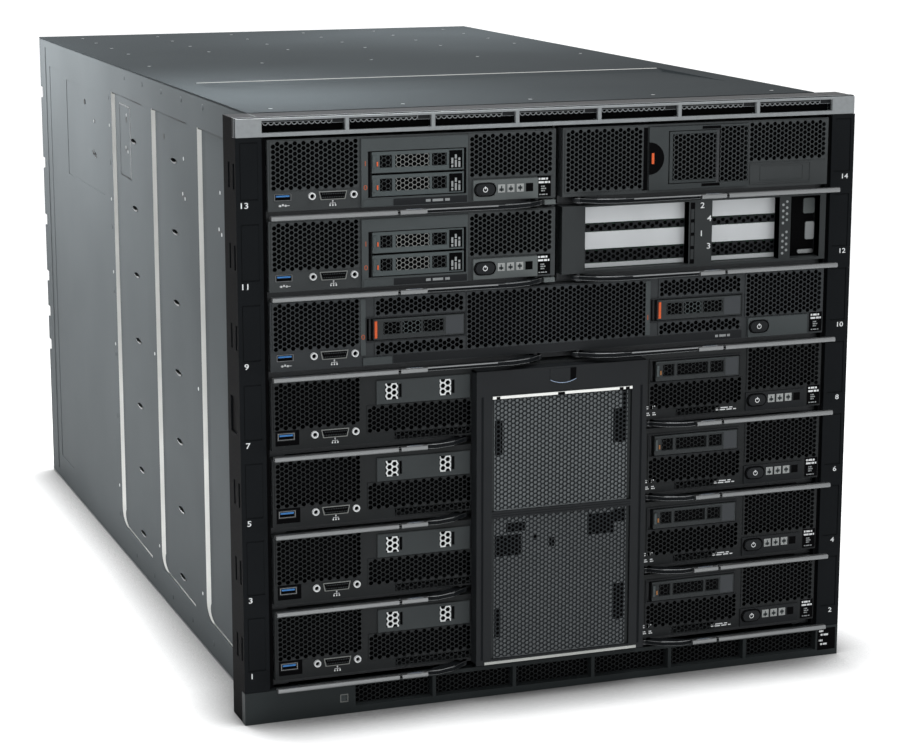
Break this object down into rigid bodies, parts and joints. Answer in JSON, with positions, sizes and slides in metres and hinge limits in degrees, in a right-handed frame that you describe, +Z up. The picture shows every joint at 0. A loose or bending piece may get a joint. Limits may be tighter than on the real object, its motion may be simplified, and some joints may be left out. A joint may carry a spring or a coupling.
{
  "type": "blade server chassis",
  "caption": "Rack-mount blade server chassis with sliding half-width and full-width server nodes, cam levers, hot-swap drives, power buttons and rear fans, supplies and switch modules.",
  "frame": {"origin": "middle of the underside of the steel body", "axes": "+X to the right seen from the front, +Y from the front to the rear, +Z up"},
  "size_m": [0.4826, 0.8339, 0.44],
  "materials": {
    "sheet_steel": "satin galvanised sheet",
    "cover_steel": "glossy dark grey sheet",
    "light_frame": "fine textured light grey",
    "charcoal_plastic": "satin charcoal",
    "node_metal": "satin charcoal",
    "circuit_board": "solder mask",
    "fan_plastic": "satin black",
    "module_steel": "satin",
    "card_bracket": "satin",
    "lever_metal": "satin",
    "button_plastic": "satin",
    "drive_carrier": "satin grey"
  },
  "bodies": {
    "chassis": {"side_panel_left": "sheet_steel", "side_panel_right": "sheet_steel", "top_cover": "cover_steel", "base_plate": "sheet_steel", "rear_frame": "sheet_steel", "top_bezel": "light_frame", "bottom_bezel": "charcoal_plastic", "ear_left": "charcoal_plastic", "ear_right": "charcoal_plastic", "bay_shelves": "node_metal", "side_runners": "sheet_steel", "midplane": "circuit_board", "fan_modules": "fan_plastic", "power_supplies": "module_steel", "switch_modules": "module_steel", "management_modules": "module_steel"},
    "half_node_13": {"half_node_13": "node_metal"},
    "storage_node_14": {"storage_node_14": "node_metal"},
    "half_node_11": {"half_node_11": "node_metal"},
    "card_node_12": {"card_node_12": "node_metal", "adapter_cards": "card_bracket"},
    "wide_node_9": {"wide_node_9": "node_metal"},
    "wide_node_7": {"wide_node_7": "node_metal"},
    "wide_node_5": {"wide_node_5": "node_metal"},
    "wide_node_3": {"wide_node_3": "node_metal"},
    "wide_node_1": {"wide_node_1": "node_metal"},
    "storage_tray": {"storage_tray": "node_metal"},
    "storage_latch": {"storage_latch": "node_metal"},
    "bridge_cover": {"bridge_cover": "node_metal"},
    "lever_14": {"lever_14": "lever_metal"},
    "lever_13": {"lever_13": "lever_metal"},
    "lever_12": {"lever_12": "lever_metal"},
    "lever_11": {"lever_11": "lever_metal"},
    "lever_10": {"lever_10": "lever_metal"},
    "lever_9": {"lever_9": "lever_metal"},
    "lever_8": {"lever_8": "lever_metal"},
    "lever_7": {"lever_7": "lever_metal"},
    "lever_6": {"lever_6": "lever_metal"},
    "lever_5": {"lever_5": "lever_metal"},
    "lever_4": {"lever_4": "lever_metal"},
    "lever_3": {"lever_3": "lever_metal"},
    "lever_2": {"lever_2": "lever_metal"},
    "lever_1": {"lever_1": "lever_metal"},
    "power_button_13": {"power_button_13": "button_plastic"},
    "power_button_11": {"power_button_11": "button_plastic"},
    "power_button_9": {"power_button_9": "button_plastic"},
    "power_button_7": {"power_button_7": "button_plastic"},
    "power_button_5": {"power_button_5": "button_plastic"},
    "power_button_3": {"power_button_3": "button_plastic"},
    "power_button_1": {"power_button_1": "button_plastic"},
    "drive_13_upper": {"drive_13_upper": "drive_carrier"},
    "drive_13_lower": {"drive_13_lower": "drive_carrier"},
    "drive_11_upper": {"drive_11_upper": "drive_carrier"},
    "drive_11_lower": {"drive_11_lower": "drive_carrier"},
    "drive_9_left": {"drive_9_left": "drive_carrier"},
    "drive_9_right": {"drive_9_right": "drive_carrier"},
    "drive_7": {"drive_7": "drive_carrier"},
    "drive_5": {"drive_5": "drive_carrier"},
    "drive_3": {"drive_3": "drive_carrier"},
    "drive_1": {"drive_1": "drive_carrier"}
  },
  "joints": [
    {"name": "half_node_13_slide", "type": "slide", "parent": "chassis", "child": "half_node_13", "axis": [0, -1, 0], "range_m": [0, 0.44]},
    {"name": "storage_node_14_slide", "type": "slide", "parent": "chassis", "child": "storage_node_14", "axis": [0, -1, 0], "range_m": [0, 0.44]},
    {"name": "half_node_11_slide", "type": "slide", "parent": "chassis", "child": "half_node_11", "axis": [0, -1, 0], "range_m": [0, 0.44]},
    {"name": "card_node_12_slide", "type": "slide", "parent": "chassis", "child": "card_node_12", "axis": [0, -1, 0], "range_m": [0, 0.44]},
    {"name": "wide_node_9_slide", "type": "slide", "parent": "chassis", "child": "wide_node_9", "axis": [0, -1, 0], "range_m": [0, 0.44]},
    {"name": "wide_node_7_slide", "type": "slide", "parent": "chassis", "child": "wide_node_7", "axis": [0, -1, 0], "range_m": [0, 0.44]},
    {"name": "wide_node_5_slide", "type": "slide", "parent": "chassis", "child": "wide_node_5", "axis": [0, -1, 0], "range_m": [0, 0.44]},
    {"name": "wide_node_3_slide", "type": "slide", "parent": "chassis", "child": "wide_node_3", "axis": [0, -1, 0], "range_m": [0, 0.44]},
    {"name": "wide_node_1_slide", "type": "slide", "parent": "chassis", "child": "wide_node_1", "axis": [0, -1, 0], "range_m": [0, 0.44]},
    {"name": "bridge_cover_slide", "type": "slide", "parent": "chassis", "child": "bridge_cover", "axis": [0, -1, 0], "range_m": [0, 0.55]},
    {"name": "storage_tray_slide", "type": "slide", "parent": "storage_node_14", "child": "storage_tray", "axis": [0, -1, 0], "range_m": [0, 0.28]},
    {"name": "storage_latch_hinge", "type": "hinge", "parent": "storage_tray", "child": "storage_latch", "pos_m": [0.126, -0.4018, 0.39956], "axis": [0, 0, 1], "range_deg": [0, 90]},
    {"name": "lever_14_hinge", "type": "hinge", "parent": "storage_node_14", "child": "lever_14", "pos_m": [0.01675, -0.3985, 0.37136], "axis": [0, 0, -1], "range_deg": [0, 55]},
    {"name": "lever_13_hinge", "type": "hinge", "parent": "half_node_13", "child": "lever_13", "pos_m": [-0.01675, -0.3985, 0.37136], "axis": [0, 0, 1], "range_deg": [0, 55]},
    {"name": "lever_12_hinge", "type": "hinge", "parent": "card_node_12", "child": "lever_12", "pos_m": [0.01675, -0.3985, 0.31431], "axis": [0, 0, -1], "range_deg": [0, 55]},
    {"name": "lever_11_hinge", "type": "hinge", "parent": "half_node_11", "child": "lever_11", "pos_m": [-0.01675, -0.3985, 0.31431], "axis": [0, 0, 1], "range_deg": [0, 55]},
    {"name": "lever_10_hinge", "type": "hinge", "parent": "wide_node_9", "child": "lever_10", "pos_m": [0.01675, -0.3985, 0.25727], "axis": [0, 0, -1], "range_deg": [0, 55]},
    {"name": "lever_9_hinge", "type": "hinge", "parent": "wide_node_9", "child": "lever_9", "pos_m": [-0.01675, -0.3985, 0.25727], "axis": [0, 0, 1], "range_deg": [0, 55]},
    {"name": "lever_8_hinge", "type": "hinge", "parent": "wide_node_7", "child": "lever_8", "pos_m": [0.075, -0.3985, 0.20023], "axis": [0, 0, -1], "range_deg": [0, 55]},
    {"name": "lever_7_hinge", "type": "hinge", "parent": "wide_node_7", "child": "lever_7", "pos_m": [-0.075, -0.3985, 0.20023], "axis": [0, 0, 1], "range_deg": [0, 55]},
    {"name": "lever_6_hinge", "type": "hinge", "parent": "wide_node_5", "child": "lever_6", "pos_m": [0.075, -0.3985, 0.14319], "axis": [0, 0, -1], "range_deg": [0, 55]},
    {"name": "lever_5_hinge", "type": "hinge", "parent": "wide_node_5", "child": "lever_5", "pos_m": [-0.075, -0.3985, 0.14319], "axis": [0, 0, 1], "range_deg": [0, 55]},
    {"name": "lever_4_hinge", "type": "hinge", "parent": "wide_node_3", "child": "lever_4", "pos_m": [0.075, -0.3985, 0.08614], "axis": [0, 0, -1], "range_deg": [0, 55]},
    {"name": "lever_3_hinge", "type": "hinge", "parent": "wide_node_3", "child": "lever_3", "pos_m": [-0.075, -0.3985, 0.08614], "axis": [0, 0, 1], "range_deg": [0, 55]},
    {"name": "lever_2_hinge", "type": "hinge", "parent": "wide_node_1", "child": "lever_2", "pos_m": [0.075, -0.3985, 0.0291], "axis": [0, 0, -1], "range_deg": [0, 55]},
    {"name": "lever_1_hinge", "type": "hinge", "parent": "wide_node_1", "child": "lever_1", "pos_m": [-0.075, -0.3985, 0.0291], "axis": [0, 0, 1], "range_deg": [0, 55]},
    {"name": "power_button_13_press", "type": "slide", "parent": "half_node_13", "child": "power_button_13", "axis": [0, 1, 0], "range_m": [0, 0.001], "stiffness_N_per_m": 300},
    {"name": "power_button_11_press", "type": "slide", "parent": "half_node_11", "child": "power_button_11", "axis": [0, 1, 0], "range_m": [0, 0.001], "stiffness_N_per_m": 300},
    {"name": "power_button_9_press", "type": "slide", "parent": "wide_node_9", "child": "power_button_9", "axis": [0, 1, 0], "range_m": [0, 0.001], "stiffness_N_per_m": 300},
    {"name": "power_button_7_press", "type": "slide", "parent": "wide_node_7", "child": "power_button_7", "axis": [0, 1, 0], "range_m": [0, 0.001], "stiffness_N_per_m": 300},
    {"name": "power_button_5_press", "type": "slide", "parent": "wide_node_5", "child": "power_button_5", "axis": [0, 1, 0], "range_m": [0, 0.001], "stiffness_N_per_m": 300},
    {"name": "power_button_3_press", "type": "slide", "parent": "wide_node_3", "child": "power_button_3", "axis": [0, 1, 0], "range_m": [0, 0.001], "stiffness_N_per_m": 300},
    {"name": "power_button_1_press", "type": "slide", "parent": "wide_node_1", "child": "power_button_1", "axis": [0, 1, 0], "range_m": [0, 0.001], "stiffness_N_per_m": 300},
    {"name": "drive_13_upper_slide", "type": "slide", "parent": "half_node_13", "child": "drive_13_upper", "axis": [0, -1, 0], "range_m": [0, 0.095]},
    {"name": "drive_13_lower_slide", "type": "slide", "parent": "half_node_13", "child": "drive_13_lower", "axis": [0, -1, 0], "range_m": [0, 0.095]},
    {"name": "drive_11_upper_slide", "type": "slide", "parent": "half_node_11", "child": "drive_11_upper", "axis": [0, -1, 0], "range_m": [0, 0.095]},
    {"name": "drive_11_lower_slide", "type": "slide", "parent": "half_node_11", "child": "drive_11_lower", "axis": [0, -1, 0], "range_m": [0, 0.095]},
    {"name": "drive_9_left_slide", "type": "slide", "parent": "wide_node_9", "child": "drive_9_left", "axis": [0, -1, 0], "range_m": [0, 0.095]},
    {"name": "drive_9_right_slide", "type": "slide", "parent": "wide_node_9", "child": "drive_9_right", "axis": [0, -1, 0], "range_m": [0, 0.095]},
    {"name": "drive_7_slide", "type": "slide", "parent": "wide_node_7", "child": "drive_7", "axis": [0, -1, 0], "range_m": [0, 0.095]},
    {"name": "drive_5_slide", "type": "slide", "parent": "wide_node_5", "child": "drive_5", "axis": [0, -1, 0], "range_m": [0, 0.095]},
    {"name": "drive_3_slide", "type": "slide", "parent": "wide_node_3", "child": "drive_3", "axis": [0, -1, 0], "range_m": [0, 0.095]},
    {"name": "drive_1_slide", "type": "slide", "parent": "wide_node_1", "child": "drive_1", "axis": [0, -1, 0], "range_m": [0, 0.095]}
  ],
  "couplings": [
    {"joint": "storage_node_14_slide", "follows": "half_node_13_slide", "ratio": 1},
    {"joint": "card_node_12_slide", "follows": "half_node_11_slide", "ratio": 1},
    {"joint": "wide_node_3_slide", "follows": "wide_node_1_slide", "ratio": 1},
    {"joint": "wide_node_5_slide", "follows": "wide_node_1_slide", "ratio": 1},
    {"joint": "wide_node_7_slide", "follows": "wide_node_1_slide", "ratio": 1},
    {"joint": "bridge_cover_slide", "follows": "wide_node_1_slide", "ratio": 1.25}
  ]
}
